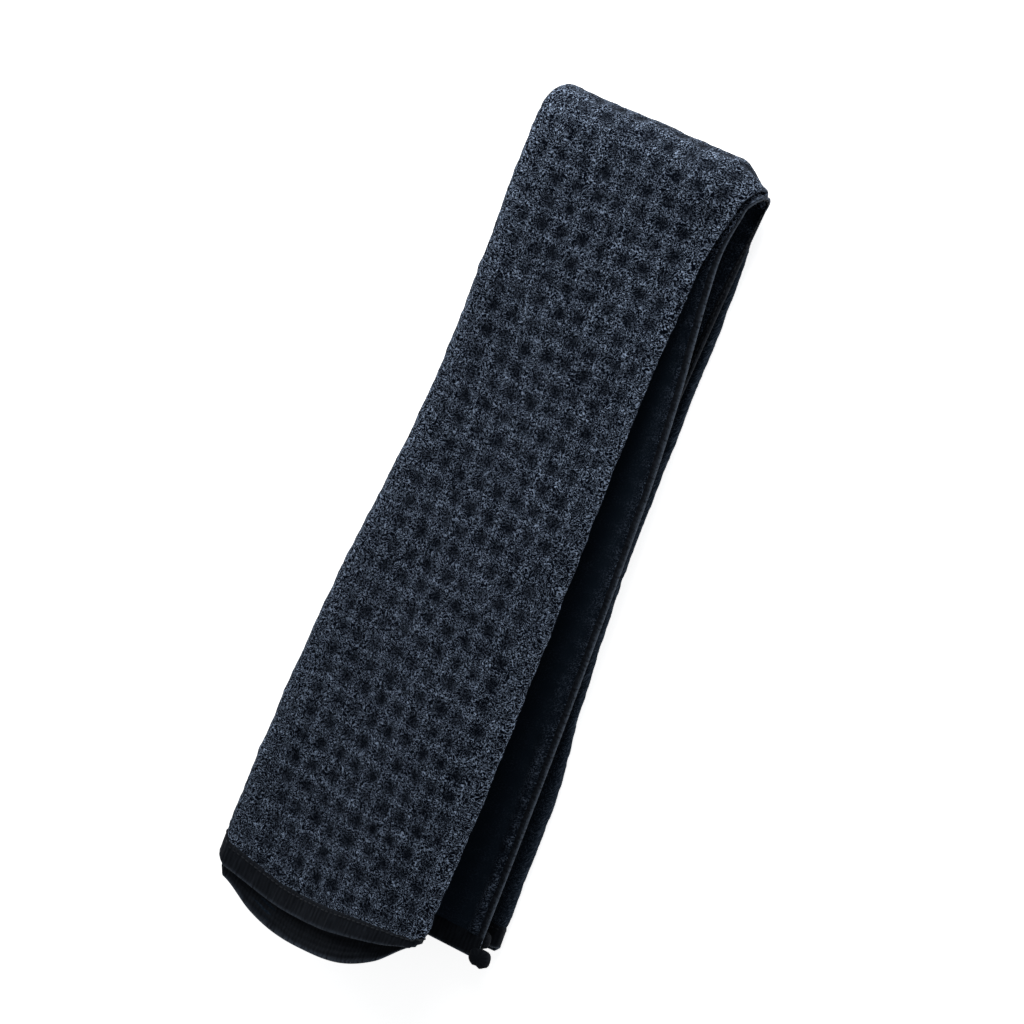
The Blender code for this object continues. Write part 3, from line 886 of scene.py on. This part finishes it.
def thread_material(name, colour, light):
    """Twisted sewing thread."""
    material, tree, shader = nodes_of(name)
    where = add(tree, "ShaderNodeAttribute", attribute_name="cloth").outputs["Vector"]
    twist = add(tree, "ShaderNodeTexWave", {"Vector": where, "Scale": 900.0, "Distortion": 0.6},
                bands_direction="DIAGONAL").outputs["Fac"]
    tree.links.new(mix(tree, twist, colour, light), shader.inputs["Base Color"])
    bump = add(tree, "ShaderNodeBump", {"Strength": 0.5, "Distance": 0.0001, "Height": twist})
    tree.links.new(bump.outputs[0], shader.inputs["Normal"])
    shader.inputs["Roughness"].default_value = 0.6
    shader.inputs["Specular IOR Level"].default_value = 0.3
    return material


def floor_material():
    """Pale floor that also glows, so that it stays near white in the soft light."""
    material, tree, shader = nodes_of("studio_floor")
    where = add(tree, "ShaderNodeTexCoord").outputs["Object"]
    fine = noise_node(tree, where, 9.0, 2.0).outputs["Fac"]
    tree.links.new(mix(tree, fine, (0.90, 0.90, 0.90, 1), (0.93, 0.93, 0.93, 1)),
                   shader.inputs["Base Color"])
    shader.inputs["Roughness"].default_value = 0.9
    shader.inputs["Specular IOR Level"].default_value = 0.1
    shader.inputs["Emission Color"].default_value = (1.0, 1.0, 1.0, 1)
    shader.inputs["Emission Strength"].default_value = 0.85
    return material


# The curled pattern is the pile's own; fleck is its painted highlight and gap the painted shadow
# between the strands
waffle = cloth_material("waffle_cloth", gap=(0.0008, 0.0020, 0.0052, 1),
                        ridge=(0.0086, 0.0156, 0.0300, 1), fleck=(0.400, 0.500, 0.680, 1),
                        # hollow is the flat pile's colour, partly painted shade
                        hollow=(0.0112, 0.0185, 0.0295, 1))
# edge is the colour of the painted highlight along the tapes' turned edges
tape = tape_material("edge_tape", colour=(0.0036, 0.0050, 0.0080, 1),
                     light=(0.0205, 0.0255, 0.0345, 1), edge=(0.070, 0.088, 0.118, 1))
thread = thread_material("seam_thread", colour=(0.006, 0.008, 0.012, 1),
                         light=(0.020, 0.025, 0.034, 1))


def bend_at_hinge(obj):
    """Bake the piece's transform into its mesh."""
    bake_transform(obj)


def upper_rows(place):
    """Rows of the upper leaf from its free end on, without the last, which starts the cross fold."""
    return leaf_rows("upper", UPPER_LENGTH)(place)[::-1][:-1]


upper = sheet_of_cloth("towel_upper", "upper",
                       [("upper", upper_rows), ("fold", fold_rows(FOLD_OUTSIDE))], waffle)
lower = sheet_of_cloth("towel_lower", "lower",
                       [("lower", leaf_rows("lower", LOWER_LENGTH))], waffle)

bend_at_hinge(upper)
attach(lower, "lower_leaf")
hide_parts("upper_cloth", "fold_cloth")
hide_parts("lower_cloth")

end_depth = END_BAND - SEAM_INSET
side_depth = SIDE_BAND_SHOWN / 2
trims = {"upper": [], "lower": []}
for leaf in ("upper", "lower"):
    body = f"{leaf}_leaf"
    frames, places = end_frames(leaf, TAPE_PITCH)
    widen = follow(BAND_SHARE, places) if leaf == "upper" else None
    end_tape = bar(f"{leaf}_end_binding", *frames, tape_profile(END_BAND), tape, widen=widen)
    end_seam = stitch_row(f"{leaf}_end_stitches", *frames, end_depth, thread, widen=widen)
    for piece, node, slot in ((end_tape, f"{leaf}_end_tape", "edge_tape"),
                              (end_seam, f"{leaf}_end_seam", "seam_thread")):
        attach(piece, body)
        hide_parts(node)
        trims[leaf].append(piece)
    for edge, inner in (("outer", False), ("inner", True)):
        knob = corner_knob(f"{leaf}_{edge}_corner", leaf, inner, tape)
        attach(knob, body)
        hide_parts(f"{leaf}_{edge}_corner_tuck")
        trims[leaf].append(knob)
        legs = ("upper", "fold") if leaf == "upper" else ("lower",)
        frames = hem_frames(legs, inner, TAPE_PITCH)
        share = hem_share(frames[0][:, 1])
        # The lower leaf's side tapes lie in the shade under the cross fold and get little of the
        # painted rim highlight
        binding = bar(f"{leaf}_{edge}_binding", *frames, tape_profile(SIDE_BAND_SHOWN), tape,
                      shift=0.8, widen=share, rim_highlight=1.0 if leaf == "upper" else 0.15)
        seam = stitch_row(f"{leaf}_{edge}_stitches", *frames, side_depth, thread, widen=share)
        for piece, part, slot in ((binding, "side_tape", "edge_tape"),
                                  (seam, "side_seam", "seam_thread")):
            if leaf == "upper":
                bend_at_hinge(piece)
                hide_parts(f"upper_{edge}_{part}", f"fold_{edge}_{part}")
            else:
                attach(piece, body)
                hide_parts(f"lower_{edge}_{part}")
            trims[leaf].append(piece)

# ---------------------------------------------------------------- stage, light, camera
FLOOR_SIZE = 12.0
FLOOR_DROP = 0.0004  # keeps the floor clear of the cloth
bpy.ops.mesh.primitive_plane_add(size=FLOOR_SIZE, location=(0, 0, -FLOOR_DROP))
floor = bpy.context.object
floor.name = "studio_floor"
floor.data.materials.append(floor_material())

scene = bpy.context.scene
world = bpy.data.worlds.new("studio")
scene.world = world
world.use_nodes = True
background = world.node_tree.nodes["Background"]
background.inputs["Color"].default_value = (0.94, 0.97, 1.0, 1)
background.inputs["Strength"].default_value = 0.17
scene.view_settings.view_transform = "Standard"


def area_light(name, direction, distance, size, power, colour=(1, 1, 1)):
    """A round lamp that looks at the origin, under the towel's middle."""
    light = bpy.data.lights.new(name, "AREA")
    light.shape = "DISK"
    light.size = size
    light.energy = power
    light.color = colour
    lamp = bpy.data.objects.new(name, light)
    spot = Vector(direction).normalized() * distance
    lamp.matrix_world = (Matrix.Translation(spot)
                         @ spot.to_track_quat("Z", "Y").to_matrix().to_4x4())
    scene.collection.objects.link(lamp)
    return lamp


area_light("key", direction=(-0.10, 0.83, 0.59), distance=0.80, size=0.6, power=4.5)
area_light("side", direction=(-0.88, 0.44, 0.36), distance=1.8, size=1.0, power=7.5,
           colour=(0.95, 0.98, 1.0))

# The camera's place and turn match the photo's view of the towel
AIM_OFFSET = Vector((0.0109, 0.0210, -0.0008))
VIEW = Vector((0.4006, 0.2504, 0.8813)).normalized()
ACROSS = Vector((0.8266, 0.3162, -0.4655))
DISTANCE = 2.2
LENS_MM = 171.8
SENSOR_MM = 36.0
low, high = cad_box
centre = (low + high) / 2
camera_data = bpy.data.cameras.new("camera")
camera_data.lens = LENS_MM
camera_data.sensor_width = SENSOR_MM
camera = bpy.data.objects.new("camera", camera_data)
across = (ACROSS - VIEW * ACROSS.dot(VIEW)).normalized()
upward = VIEW.cross(across)
turn = Matrix((across, upward, VIEW)).transposed().to_4x4()
camera.matrix_world = Matrix.Translation(centre + AIM_OFFSET + VIEW * DISTANCE) @ turn
scene.collection.objects.link(camera)
scene.camera = camera
